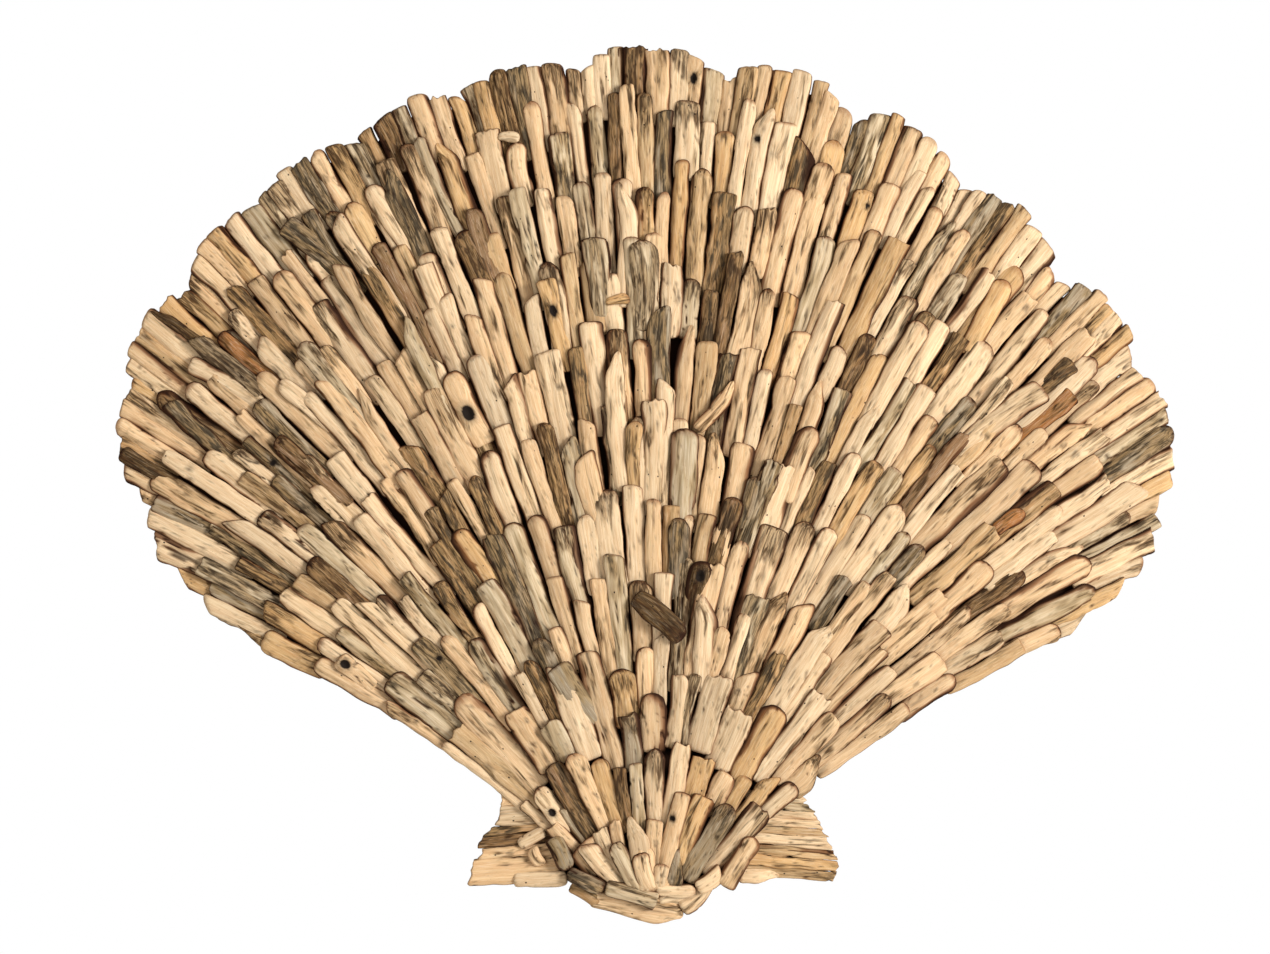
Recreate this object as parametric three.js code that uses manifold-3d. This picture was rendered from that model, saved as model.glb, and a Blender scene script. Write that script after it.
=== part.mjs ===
// A scallop-shaped driftwood wall panel: a flat wooden board cut to a fan with a lobed rim and two small
// ears, faced with several hundred driftwood sticks laid like shingles, from the rim down to the hinge.
// Millimetres. The wall is the plane y = 0, the front faces -Y and +Z is up.
// The panel is drawn lying down, with plan x to the right, plan y up the wall and heights measured off the
// wall, and the finished group is then stood up.
import * as THREE from "three";
import { mergeVertices } from "three/addons/utils/BufferGeometryUtils.js";
import Module from "manifold-3d";

const wasm = await Module();
wasm.setup();

// Board
const board_thickness = 9;
const rim_overhang = 11; // how far the rim sticks stand past the board
const side_overhang = 7;
const ear_overhang = 6;
const outline_steps = 5; // outline points to a lobe

// Fan: every stick follows a line that starts on a short root and bends outwards
const root_height = -300; // plan y of the root
const root_spread = 0.5; // mm that a line starts to the side for each degree of its angle
const fan_curl = 0.5; // share by which a line's angle has grown at curl_reach
const curl_reach = 605;

// Lobes, left to right: the lines between the ribs in degrees, the reach of the rim there and on each rib
const rib_edges = [
  -43.3, -41, -36.7, -30.9, -24.8, -19.3, -13.7, -8.6, -3.2, 3.2, 9.5, 15.4, 22.4, 28.7, 37.1, 43.1,
];
const notch_reach = [305, 380, 446, 512, 540, 567, 580, 591, 594, 589, 574, 550, 522, 503, 440, 330];
const lobe_reach = [362, 426, 494, 542, 568, 584, 597, 606, 614, 603, 584, 556, 531, 491, 410];
const lobe_fullness = 0.75; // lower makes a squarer lobe

// Inner ends of the ribs, where the sticks of the hinge fan take over along a waving line
const foot_reach = 112;
const foot_wave = 11;
const foot_wave_step = 5; // degrees to a radian of the wave
const foot_gap = 2;
const hinge_reach_middle = 17;
const hinge_reach_side = 38;

// Sticks
const stick_width = 14;
const rim_stick_width = 12;
const width_scatter = 0.28; // share of the width
const course_pitch = 54;
const rim_pitch = 42; // from the rim to the second course
const rim_show = 24; // least length of the rim sticks that shows
const hinge_pitch = 34; // between the courses of the hinge fan
const tip_scatter = 18;
const rim_scatter = 2.5;
const shortest_course = 25; // least length that is left for the innermost course
const shortest_stick = 8;
const tail_cover = 11; // how far a tail runs under the sticks of the next course
const side_contact = 0.3; // how far neighbours press into each other
const tip_slant = 5;
const rib_gap = 1.6;
const seat_gap = 0.3; // glue line between two pieces
const joined_step = 0.36; // steps smaller than this are lost where fused sticks meet

// Heights of the sticks above the bed that they follow
const tip_rise = 9.5;
const tail_rise = 2.5;
const rise_scatter = 1.6;
const crown = 3.2; // height of a stick's rounded back above its edges
const least_edge = 1;
const least_crown = 0.5;

// Bed above the board: a dome that is highest inside the hinge, with a rise along each rib
const rim_bed = 2.5;
const least_bed = 0.6;
const dome_rise = 19;
const dome_fall = 2.4; // power by which the dome falls towards the rim
const side_loss = 0.85; // share of the dome that is lost at the fan's sides
const side_fall = 2.2;
const crest_reach = 160; // reach where the dome is highest
const hinge_share = 0.35; // share of the dome's height at the root
const rib_relief = 8;
const rib_valley = 0.6; // share of the relief that lies below the bed
const rib_growth = 1.3; // power by which the ribs grow towards the rim

// Hinge sticks, upper ones first: name, both ends of the centre line, width, top above the board, colour.
// The ends are counted from the root, to the right and up, in units of hinge_reach_side
const hinge_sticks = [
  ["hinge_left_side_stick", [-1.89, 1.24], [-1.59, 0.63], 12, 17, "grey"],
  ["hinge_left_lower_stick", [-1.58, 0.59], [-0.89, 0.29], 9, 17, "grey"],
  ["hinge_striated_stick", [-0.87, 0.34], [0.11, 0.05], 11, 17, "grey"],
  ["hinge_cream_stick", [0.08, 0.29], [0.82, 0.26], 8, 16, "cream"],
  ["hinge_right_inner_stick", [0.82, 0.32], [1.29, 0.63], 10, 17, "cream"],
  ["hinge_tan_stick", [1.33, 0.34], [1.93, 1.26], 13, 18, "tan"],
  ["hinge_brown_stick", [-1.53, 0.33], [-0.93, 0.00], 11, 9, "dark"],
  ["hinge_bottom_stick", [-1.05, 0.08], [0.53, -0.21], 18, 9, "tan"],
  ["hinge_small_stick", [0.16, 0.07], [0.66, 0.11], 7, 10, "cream"],
  ["hinge_right_lower_stick", [0.63, -0.05], [1.26, 0.34], 13, 10, "rose"],
];

// Sticks that lie on the ears, told in the same way, with their ends counted in mm from the ears' top
const ear_sticks = [
  ["left_ear_wedge", [-95, -35.5], [-76, -25.5], 8, 11, "cream"],
  ["left_ear_chip", [-85, -36.5], [-77, -49.5], 8, 11, "tan"],
  ["left_ear_foot_stick", [-97, -60], [-62, -59], 11, 9, "tan"],
  ["right_ear_foot_stick", [65, -57.5], [90, -59.5], 11, 9, "tan"],
];

// Ears: strips side by side from the top down. Each has its width and its length from ear_strip_inner
const ear_rise = 77; // height of the ears' top above the root
const ear_top = root_height + ear_rise;
const ear_strip_inner = 58;
const ear_strips = {
  left: { widths: [8, 14, 6.5, 8.5, 8, 18.5], lengths: [52, 54, 61, 66, 67, 73] },
  right: {
    widths: [6.5, 5, 6, 6, 5.5, 8.5, 7.5, 8, 7.5],
    lengths: [53, 57, 61, 64, 67, 70, 75, 76, 74],
  },
};
const ear_slope = 0.08; // mm that a strip rises for each mm towards the shell
const ear_end_slant = 3;
const ear_strip_top = 7;
const ear_strip_step = 0.9; // every other strip lies this much higher
const ear_end_overhang = 9; // at the top strip, where the board's ear starts
const hinge_half_width = 61;
const hinge_dip = 33; // how far below the root the board's rounded foot is drawn

const degrees = Math.PI / 180;
const bed_floor = board_thickness + seat_gap;
const colours = {
  board: 0xb08a5c,
  tan: 0xd3ae7a,
  cream: 0xe2c79a,
  grey: 0xa39178,
  dark: 0x6a5440,
  rose: 0xc79a72,
};
const rib_colours = ["tan", "cream", "tan", "rose"];

const mix = (a, b, t) => a + (b - a) * t;
const clamp = (v, low, high) => Math.min(high, Math.max(low, v));

// The same numbers on every run
function dice(seed) {
  let state = seed;
  return (low, high) => {
    state = (state * 16807) % 2147483647;
    return low + ((high - low) * state) / 2147483647;
  };
}

// Plan position of a point of the fan, from its line's angle in degrees and its distance from the root
function fan_point(angle, reach) {
  const turned = angle * degrees * (1 + (fan_curl * reach) / curl_reach);
  return [root_spread * angle + reach * Math.sin(turned), root_height + reach * Math.cos(turned)];
}

// Degrees that span a given width at a given reach
function degrees_across(width, reach) {
  return width / (root_spread + reach * degrees * (1 + (fan_curl * reach) / curl_reach));
}

function rib_at(angle) {
  let rib = 0;
  while (rib < lobe_reach.length - 1 && angle > rib_edges[rib + 1]) rib += 1;
  const across = clamp((angle - rib_edges[rib]) / (rib_edges[rib + 1] - rib_edges[rib]), 0, 1);
  return { rib, across };
}

const lobe = (across) => Math.pow(Math.max(0, 1 - (2 * across - 1) ** 2), lobe_fullness);

function rim_reach(angle) {
  const { rib, across } = rib_at(angle);
  const chord = mix(notch_reach[rib], notch_reach[rib + 1], across);
  const bulge = lobe_reach[rib] - (notch_reach[rib] + notch_reach[rib + 1]) / 2;
  return chord + bulge * lobe(across);
}

const fan_left = rib_edges[0];
const fan_right = rib_edges[rib_edges.length - 1];
const rib_foot = (angle) => foot_reach + foot_wave * Math.sin(angle / foot_wave_step);
const hinge_reach = (angle) => mix(hinge_reach_middle, hinge_reach_side, (angle / fan_right) ** 2);

// Height of the bed above the board's front
function bed(angle, reach) {
  const out = clamp(reach / rim_reach(angle), 0, 1);
  const aside = Math.abs(angle / fan_right);
  const inwards = mix(hinge_share, 1, Math.min(1, reach / crest_reach));
  const across = 1 - side_loss * Math.min(1, aside) ** side_fall;
  const dome = dome_rise * (1 - out ** dome_fall) * across * inwards;
  const rib = rib_relief * (lobe(rib_at(angle).across) - rib_valley) * out ** rib_growth;
  return Math.max(least_bed, rim_bed + dome + rib);
}

// The sticks of one course: where they start and end across, and where their tips are. Those of the rim
// are cut along its outline, and the others stay well inside it
function lay_course(field, roll, line, is_first) {
  const span = (field.right - field.left) / degrees_across(1, line - field.pitch / 2);
  const count = Math.max(1, Math.round(span / (is_first ? field.edge_width : stick_width)));
  const shares = Array.from({ length: count }, () => roll(1 - width_scatter, 1 + width_scatter));
  const total = shares.reduce((sum, share) => sum + share);
  let used = 0;
  return shares.map((share) => {
    const from = mix(field.left, field.right, used / total);
    used += share;
    const to = mix(field.left, field.right, used / total);
    const edge = (field.outer(from) + field.outer(to)) / 2;
    const slant = is_first ? (field.outer(to) - field.outer(from)) / 2 : roll(-tip_slant, tip_slant);
    const scatter = is_first ? field.edge_scatter : tip_scatter;
    const shift = roll(-scatter, scatter);
    const tip = is_first ? edge + shift : Math.min(line + shift, edge - rim_show);
    return { from, to, slant, tip, lift: roll(-1, 1) };
  });
}

// Every stick of one field of the fan, course by course from its outer line inwards.
// A tail ends under the sticks of the next course that cover it, or where the field ends.
function lay_sticks(field) {
  const roll = dice(field.seed);
  const end = field.inner((field.left + field.right) / 2) + shortest_course;
  const courses = [];
  for (let line = field.crest; line > end; line -= courses.length > 1 ? field.pitch : field.edge_pitch) {
    courses.push(lay_course(field, roll, line, courses.length === 0));
  }
  courses.forEach((course, c) => {
    const next = courses[c + 1] ?? [];
    course.forEach((stick) => {
      const covers = next.filter((other) => other.to > stick.from && other.from < stick.to);
      const hidden = covers.map((other) => other.tip - Math.abs(other.slant) - tail_cover);
      stick.tail = Math.max(Math.min(Infinity, ...hidden), field.inner(stick.from), field.inner(stick.to));
      if (!covers.length) stick.tail = Math.max(field.inner(stick.from), field.inner(stick.to));
    });
  });
  return courses.flat().filter((stick) => stick.tip > stick.tail + shortest_stick);
}

function rib_field(rib) {
  return {
    seed: 977 + 131 * rib,
    left: rib_edges[rib],
    right: rib_edges[rib + 1],
    crest: lobe_reach[rib],
    outer: rim_reach,
    edge_width: rim_stick_width,
    edge_scatter: rim_scatter,
    edge_pitch: rim_pitch,
    pitch: course_pitch,
    inner: rib_foot,
  };
}

const hinge_field = {
  seed: 4211,
  left: fan_left,
  right: fan_right,
  crest: foot_reach,
  outer: (angle) => rib_foot(angle) - foot_gap,
  edge_width: stick_width,
  edge_scatter: 0,
  edge_pitch: hinge_pitch,
  pitch: hinge_pitch,
  inner: hinge_reach,
};

function solid_of(positions, triangles) {
  const mesh = new wasm.Mesh({
    numProp: 3,
    vertProperties: new Float32Array(positions),
    triVerts: new Uint32Array(triangles),
  });
  return new wasm.Manifold(mesh);
}

function geometry_of(solid) {
  const mesh = solid.getMesh();
  return new THREE.BufferGeometry()
    .setAttribute("position", new THREE.BufferAttribute(new Float32Array(mesh.vertProperties), 3))
    .setIndex(new THREE.BufferAttribute(new Uint32Array(mesh.triVerts), 1));
}

// A flat-topped solid over a closed outline in plan
function prism(shape, low, high, curveSegments = 8) {
  const depth = high - low;
  const geometry = new THREE.ExtrudeGeometry(shape, { depth, bevelEnabled: false, curveSegments });
  geometry.deleteAttribute("normal");
  geometry.deleteAttribute("uv");
  geometry.translate(0, 0, low);
  const merged = mergeVertices(geometry);
  return solid_of(merged.attributes.position.array, merged.index.array);
}

const outline = (points) => new THREE.Shape(points.map(([x, y]) => new THREE.Vector2(x, y)));

// A closed solid from a tail with two feet on the board and two edges to a tip that has a crown as well
function roofed([tail, tip]) {
  const quad = (a, b, c, d) => [a, b, c, a, c, d];
  const sides = [...quad(0, 4, 5, 1), ...quad(1, 5, 6, 2), ...quad(3, 8, 4, 0)];
  const roof = [2, 6, 7, 2, 7, 3, 3, 7, 8];
  const caps = [0, 1, 2, 0, 2, 3, 4, 6, 5, 4, 7, 6, 4, 8, 7];
  return solid_of([...tail, ...tip].flat(), [...sides, ...roof, ...caps]);
}

// The corners of both ends, each from its left, middle and right in plan and its top
function stick_ends(tail, tip) {
  const [low, high] = [tail, tip].map(({ top }) => Math.max(bed_floor + least_edge, top - crown));
  const crest = Math.max(tip.top, high + least_crown);
  const feet = ({ left, right }) => [[...left, bed_floor], [...right, bed_floor]];
  return [
    [...feet(tail), [...tail.right, low], [...tail.left, low]],
    [...feet(tip), [...tip.right, high], [...tip.middle, crest], [...tip.left, high]],
  ];
}

// A stick of the fan, kept inside its field by half the gap between two fields
function fan_stick(stick, field) {
  const centre = (stick.from + stick.to) / 2;
  const end = (reach, rise, slant) => {
    const corner = (angle, side) => {
      const at = reach + side * slant;
      const pressed = angle + side * degrees_across(side_contact, at);
      const margin = degrees_across(rib_gap / 2, at);
      return fan_point(clamp(pressed, field.left + margin, field.right - margin), at);
    };
    const top = board_thickness + bed(centre, reach) + rise;
    const middle = fan_point(centre, reach);
    return { left: corner(stick.from, -1), middle, right: corner(stick.to, 1), top };
  };
  const tail = end(stick.tail, tail_rise, 0);
  return roofed(stick_ends(tail, end(stick.tip, tip_rise + stick.lift * rise_scatter, stick.slant)));
}

function fused_sticks(field) {
  const sticks = lay_sticks(field).map((stick) => fan_stick(stick, field));
  return wasm.Manifold.union(sticks).asOriginal().simplify(joined_step);
}

function placed([name, from, to, width, top, colour], unit, base) {
  const [start, finish] = [from, to].map(([x, y]) => [x * unit, base + y * unit]);
  return { name, from: start, to: finish, width, top, colour };
}

// Both ends of a straight piece in plan, grown all round: its left corner, its middle and its right corner
function ends_of(stick, grown) {
  const { from, to } = stick;
  const along = new THREE.Vector2(to[0] - from[0], to[1] - from[1]).normalize();
  const place = ([x, y], forward, left) => [
    x + along.x * forward - along.y * left,
    y + along.y * forward + along.x * left,
  ];
  const half = stick.width / 2 + grown;
  const top = board_thickness + stick.top;
  return [[from, -grown], [to, grown]].map(([point, forward]) => {
    const [left, middle, right] = [half, 0, -half].map((aside) => place(point, forward, aside));
    return { left, middle, right, top };
  });
}

function loose_stick(stick) {
  return roofed(stick_ends(...ends_of(stick, 0)));
}

function room_of(stick) {
  const [start, finish] = ends_of(stick, seat_gap);
  const corners = [start.right, finish.right, finish.left, start.left];
  return prism(outline(corners), board_thickness, board_thickness + 2 * stick.top);
}

function biggest_body(solid) {
  return solid.decompose().reduce((best, body) => (body.volume() > best.volume() ? body : best));
}

// Plan outline of the fan, held back from the rim and from the sides
function fan_outline(rim_inset, side_inset, foot) {
  const at = (angle, reach) => {
    const margin = degrees_across(side_inset, reach);
    return fan_point(clamp(angle, fan_left + margin, fan_right - margin), reach);
  };
  const rim = rib_edges.slice(0, -1).flatMap((edge, rib) =>
    Array.from({ length: outline_steps }, (_, step) => {
      const angle = mix(edge, rib_edges[rib + 1], step / outline_steps);
      return at(angle, rim_reach(angle) - rim_inset);
    }),
  );
  const side = (angle, reach) =>
    [1, 0.75, 0.5, 0.25, 0].map((t) => at(angle, mix(foot, reach - rim_inset, t)));
  return [
    ...rim,
    ...side(fan_right, notch_reach[lobe_reach.length]),
    ...side(fan_left, notch_reach[0]).reverse().slice(0, -1),
  ];
}

// How far out the strips of an ear end
const strip_ends = (lengths) => lengths.map((length) => ear_strip_inner + length);

// The board's half of an ear: its top, its tip and its foot, held back from the ends of the strips
function ear_corners({ widths, lengths }, side) {
  const ends = strip_ends(lengths);
  const foot = ear_top - widths.reduce((sum, width) => sum + width) + ear_overhang;
  return {
    top: [side * (ends[0] - ear_end_overhang), ear_top - ear_overhang],
    tip: [side * (ends[ends.length - 1] - ear_overhang), foot],
    foot: [side * hinge_half_width, foot],
  };
}

function board() {
  const fan = prism(outline(fan_outline(rim_overhang, side_overhang, hinge_reach_side)), 0, board_thickness);
  const left = ear_corners(ear_strips.left, -1);
  const right = ear_corners(ear_strips.right, 1);
  const ears = new THREE.Shape()
    .moveTo(...left.top)
    .lineTo(...left.tip)
    .lineTo(...left.foot)
    .quadraticCurveTo(0, root_height - hinge_dip, ...right.foot)
    .lineTo(...right.tip)
    .lineTo(...right.top);
  return fan.add(prism(ears, 0, board_thickness));
}

// The strips of one ear, before the shell's side is cut off them. Side is -1 on the left and 1 on the right
function ear_strip_solids({ widths, lengths }, side) {
  const ends = strip_ends(lengths);
  const corner = (x, level) => [side * x, level + ear_slope * (ends[0] - x)];
  let top = ear_top;
  return widths.map((width, i) => {
    const [high, low] = [top, top - width + seat_gap];
    top -= width;
    const corners = [
      corner(ear_strip_inner, high),
      corner(ear_strip_inner, low),
      corner(ends[i], low),
      corner(ends[i] - ear_end_slant, high),
    ];
    const height = ear_strip_top + (i % 2) * ear_strip_step;
    return prism(outline(side > 0 ? corners.reverse() : corners), bed_floor, board_thickness + height);
  });
}

function mesh_of(name, solid, colour) {
  const finish = { color: colours[colour], roughness: 0.85, metalness: 0 };
  const mesh = new THREE.Mesh(geometry_of(solid), new THREE.MeshStandardMaterial(finish));
  mesh.name = name;
  return mesh;
}

const numbered = (number) => String(number).padStart(2, "0");
const panel = new THREE.Group();
panel.rotation.x = Math.PI / 2;

panel.add(mesh_of("backing_board", board(), "board"));

lobe_reach.forEach((reach, rib) => {
  const colour = rib_colours[rib % rib_colours.length];
  panel.add(mesh_of(`rib_${numbered(rib + 1)}_sticks`, fused_sticks(rib_field(rib)), colour));
});
panel.add(mesh_of("hinge_fan_sticks", fused_sticks(hinge_field), "tan"));

const loose_sticks = [
  ...hinge_sticks.map((row) => placed(row, hinge_reach_side, root_height)),
  ...ear_sticks.map((row) => placed(row, 1, ear_top)),
];

// A loose stick leaves room for the ones above it and for the fan
const fan_height = 2 * (rim_bed + dome_rise + rib_relief);
const fan_room = outline(fan_outline(0, 0, hinge_reach_middle));
let taken = prism(fan_room, board_thickness, board_thickness + fan_height);
for (const stick of loose_sticks) {
  panel.add(mesh_of(stick.name, biggest_body(loose_stick(stick).subtract(taken)), stick.colour));
  taken = taken.add(room_of(stick));
}

for (const [ear, side] of [["left", -1], ["right", 1]]) {
  ear_strip_solids(ear_strips[ear], side).forEach((strip, i) => {
    const colour = rib_colours[i % rib_colours.length];
    panel.add(mesh_of(`${ear}_ear_strip_${i + 1}`, biggest_body(strip.subtract(taken)), colour));
  });
}

export default panel;
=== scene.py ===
# The looks of a scallop-shaped driftwood wall panel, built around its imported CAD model.
# The layout is worked out in plan, in millimetres: x to the right, y up the wall and h off the wall.
# Meshes are then put in the frame in metres, where plan (x, y, h) stands at (x, -h, y).
import math

import bpy
import numpy as np
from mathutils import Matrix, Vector


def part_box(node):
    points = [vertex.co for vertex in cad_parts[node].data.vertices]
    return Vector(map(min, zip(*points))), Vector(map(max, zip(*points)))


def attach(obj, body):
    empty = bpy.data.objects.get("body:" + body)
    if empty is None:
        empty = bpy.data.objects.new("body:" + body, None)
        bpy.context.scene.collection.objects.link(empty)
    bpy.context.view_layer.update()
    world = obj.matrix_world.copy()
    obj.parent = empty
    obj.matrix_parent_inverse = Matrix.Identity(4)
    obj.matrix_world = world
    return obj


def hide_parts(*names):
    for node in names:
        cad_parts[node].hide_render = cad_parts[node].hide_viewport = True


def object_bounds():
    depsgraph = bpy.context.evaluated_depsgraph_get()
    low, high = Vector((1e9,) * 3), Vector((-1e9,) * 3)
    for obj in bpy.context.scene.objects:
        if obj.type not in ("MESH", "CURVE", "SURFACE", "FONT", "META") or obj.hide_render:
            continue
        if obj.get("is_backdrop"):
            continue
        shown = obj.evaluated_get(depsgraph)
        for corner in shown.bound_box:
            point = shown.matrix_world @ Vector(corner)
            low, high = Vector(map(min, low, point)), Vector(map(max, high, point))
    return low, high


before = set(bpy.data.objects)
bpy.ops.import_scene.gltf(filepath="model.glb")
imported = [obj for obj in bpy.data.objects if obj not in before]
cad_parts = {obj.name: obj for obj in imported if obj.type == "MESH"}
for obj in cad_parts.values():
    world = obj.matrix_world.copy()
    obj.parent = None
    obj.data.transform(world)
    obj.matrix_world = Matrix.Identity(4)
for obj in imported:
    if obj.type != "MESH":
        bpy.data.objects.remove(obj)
cad_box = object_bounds()

MM = 0.001

# The fan of sticks, as in the CAD model
BOARD_THICKNESS = (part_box("backing_board")[1].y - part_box("backing_board")[0].y) / MM
ROOT_HEIGHT = -300.0
ROOT_SPREAD = 0.5
FAN_CURL = 0.5
CURL_REACH = 605.0
RIB_EDGES = [
    -43.3, -41, -36.7, -30.9, -24.8, -19.3, -13.7, -8.6, -3.2, 3.2, 9.5, 15.4, 22.4, 28.7, 37.1, 43.1,
]
NOTCH_REACH = [305, 380, 446, 512, 540, 567, 580, 591, 594, 589, 574, 550, 522, 503, 440, 330]
LOBE_REACH = [362, 426, 494, 542, 568, 584, 597, 606, 614, 603, 584, 556, 531, 491, 410]
LOBE_FULLNESS = 0.75
FOOT_REACH = 112.0
FOOT_WAVE = 11.0
FOOT_WAVE_STEP = 5.0
FOOT_GAP = 2.0
HINGE_REACH_MIDDLE = 17.0
HINGE_REACH_SIDE = 38.0
STICK_WIDTH = 14.0
RIM_STICK_WIDTH = 12.0
WIDTH_SCATTER = 0.28
COURSE_PITCH = 54.0
RIM_PITCH = 42.0
RIM_SHOW = 24.0
HINGE_PITCH = 34.0
TIP_SCATTER = 18.0
RIM_SCATTER = 2.5
SHORTEST_COURSE = 25.0
SHORTEST_STICK = 8.0
TAIL_COVER = 11.0
TIP_SLANT = 5.0
TIP_RISE = 9.5
TAIL_RISE = 2.5
RISE_SCATTER = 1.6
RIM_BED = 2.5
LEAST_BED = 0.6
DOME_RISE = 19.0
DOME_FALL = 2.4
SIDE_LOSS = 0.85
SIDE_FALL = 2.2
CREST_REACH = 160.0
HINGE_SHARE = 0.35
RIB_RELIEF = 8.0
RIB_VALLEY = 0.6
RIB_GROWTH = 1.3

# Hinge sticks: node, ends of the centre line from the root in units of HINGE_REACH_SIDE, width, tone. As
# in the photograph, they are a little wider than their CAD solids, and some are longer
HINGE_STICKS = [
    ("hinge_left_side_stick", (-1.89, 1.24), (-1.59, 0.63), 14.5, "grey"),
    ("hinge_left_lower_stick", (-1.58, 0.59), (-0.89, 0.29), 11, "grey"),
    ("hinge_striated_stick", (-0.87, 0.34), (0.11, 0.05), 13, "silver"),
    ("hinge_cream_stick", (0.08, 0.29), (0.82, 0.26), 9, "cream"),
    ("hinge_right_inner_stick", (0.82, 0.32), (1.29, 0.63), 12, "cream"),
    ("hinge_tan_stick", (1.33, 0.34), (1.93, 1.26), 15, "tan"),
    ("hinge_brown_stick", (-1.53, 0.33), (-0.93, 0.00), 13, "brown"),
    ("hinge_bottom_stick", (-1.16, 0.10), (0.60, -0.18), 27, "tan"),
    ("hinge_small_stick", (0.12, 0.05), (0.68, 0.10), 11, "cream"),
    ("hinge_right_lower_stick", (0.54, -0.09), (1.30, 0.36), 17, "cream"),
]

# Sticks on the ears, told in the same way, with their ends in millimetres from the ears' top
EAR_RISE = 77.0
EAR_TOP = ROOT_HEIGHT + EAR_RISE
EAR_STICKS = [
    ("left_ear_wedge", (-95, -35.5), (-76, -25.5), 9.5, "cream"),
    ("left_ear_chip", (-85, -36.5), (-77, -49.5), 9.5, "tan"),
    ("left_ear_foot_stick", (-99, -60), (-60, -59), 12, "cream"),
    ("right_ear_foot_stick", (62, -57.5), (91, -59.5), 12, "cream"),
]

# Strips of the ears from the top down: widths, and lengths from EAR_STRIP_INNER outwards
EAR_STRIP_INNER = 58.0
EAR_STRIP_HIDDEN = 8.0  # length at the inner end that is left out, under the fan
EAR_STRIPS = {
    "left": ((8, 14, 6.5, 8.5, 8, 18.5), (52, 54, 61, 66, 67, 73)),
    "right": ((6.5, 5, 6, 6, 5.5, 8.5, 7.5, 8, 7.5), (53, 57, 61, 64, 67, 70, 75, 76, 74)),
}
EAR_SLOPE = 0.08
EAR_STRIP_OVERLAP = 1.06  # width in the scene as a share of the strip's own
EAR_SEED = 9000
EAR_TONES = {
    "left": ("tan", "cream", "brown", "umber", "tan", "tan"),
    "right": ("cream", "silver", "cream", "cream", "rose", "cream", "rose", "golden", "rose"),
}

# The photograph: its middle, its frame and the size of its pixels on the panel
PHOTO_WIDTH = 1270
PHOTO_HEIGHT = 954
PHOTO_ORIGIN = (652, 483)
PIXEL = 0.7116

# Stick tones: colour, share of the sticks, how much more often on the right, grey weathering, dark streaks.
# Pale tones come more often on the right, partly as the sticks' own tones and partly as painted light on the
# lit right side
TONES = {
    "cream": ("#EBD0A8", 0.30, 0.55, 0.10, 0.10),
    "tan": ("#E5C498", 0.36, 0.0, 0.18, 0.20),
    "golden": ("#DBB47E", 0.06, 0.0, 0.10, 0.25),
    "rose": ("#CFAE80", 0.05, 0.3, 0.25, 0.35),
    "silver": ("#D2BF9D", 0.11, -0.2, 0.60, 0.50),
    "brown": ("#C29C6C", 0.06, -0.7, 0.55, 0.90),
    "umber": ("#957350", 0.02, -0.8, 0.35, 1.20),
    "grey": ("#A99A80", 0.03, -0.6, 0.85, 1.00),
    "russet": ("#AB7440", 0.0, 0.0, 0.10, 0.30),
    "black": ("#36261A", 0.0, 0.0, 0.10, 1.20),
}

# Sticks that stand out, by their places in the photograph's pixels
DARK_MARKS = [
    (630, 75), (520, 95), (375, 150), (310, 185), (475, 240), (300, 235), (380, 320), (210, 345),
    (180, 410), (300, 465), (135, 460), (190, 520), (618, 165), (651, 178), (575, 400), (648, 335),
    (715, 300), (735, 520), (820, 480), (850, 150), (865, 345), (800, 605), (440, 530), (550, 670),
    (625, 805), (690, 860), (980, 245), (920, 550), (1010, 600), (1120, 455),
]
DARK_TONES = ("umber", "grey", "brown", "grey")
PALE_MARKS = [
    (620, 215), (545, 90), (690, 140), (760, 150), (380, 205), (440, 310), (480, 480), (365, 490),
    (230, 420), (820, 355), (640, 440), (590, 550), (300, 545), (1130, 370), (1060, 500), (1020, 575),
    (880, 600), (716, 735), (238, 440), (262, 480), (240, 505), (318, 452), (205, 465), (360, 520),
    (160, 540), (180, 560), (205, 590),
]
GOLDEN_MARKS = [
    (698, 790), (712, 815), (735, 800), (758, 752), (770, 775), (608, 815), (900, 470), (845, 520),
    (1000, 300), (470, 135), (225, 245), (300, 640), (170, 590), (1085, 600),
]

# The dice that the CAD model's sticks are laid with
DICE_FACTOR = 16807
DICE_RANGE = 2147483647


def dice(seed):
    """The same numbers as in the CAD model, on every run."""
    state = seed

    def roll(low, high):
        nonlocal state
        state = (state * DICE_FACTOR) % DICE_RANGE
        return low + (high - low) * state / DICE_RANGE

    return roll


def mix(a, b, t):
    return a + (b - a) * t


def clamp(v, low, high):
    return min(high, max(low, v))


def smooth(v, low, high):
    """From 0 at low to 1 at high, without a corner at either."""
    t = np.clip((v - low) / (high - low), 0.0, 1.0)
    return t * t * (3 - 2 * t)


def fan_point(angle, reach):
    """Plan position of a point of the fan, from its line's angle and its distance from the root."""
    turned = math.radians(angle) * (1 + FAN_CURL * reach / CURL_REACH)
    return np.array([ROOT_SPREAD * angle + reach * math.sin(turned), ROOT_HEIGHT + reach * math.cos(turned)])


def degrees_across(width, reach):
    """Degrees that span a given width at a given reach."""
    return width / (ROOT_SPREAD + reach * math.radians(1) * (1 + FAN_CURL * reach / CURL_REACH))


def rib_at(angle):
    rib = 0
    while rib < len(LOBE_REACH) - 1 and angle > RIB_EDGES[rib + 1]:
        rib += 1
    return rib, clamp((angle - RIB_EDGES[rib]) / (RIB_EDGES[rib + 1] - RIB_EDGES[rib]), 0, 1)


def lobe(across):
    return max(0.0, 1 - (2 * across - 1) ** 2) ** LOBE_FULLNESS


def rim_reach(angle):
    rib, across = rib_at(angle)
    bulge = LOBE_REACH[rib] - (NOTCH_REACH[rib] + NOTCH_REACH[rib + 1]) / 2
    return mix(NOTCH_REACH[rib], NOTCH_REACH[rib + 1], across) + bulge * lobe(across)


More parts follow.
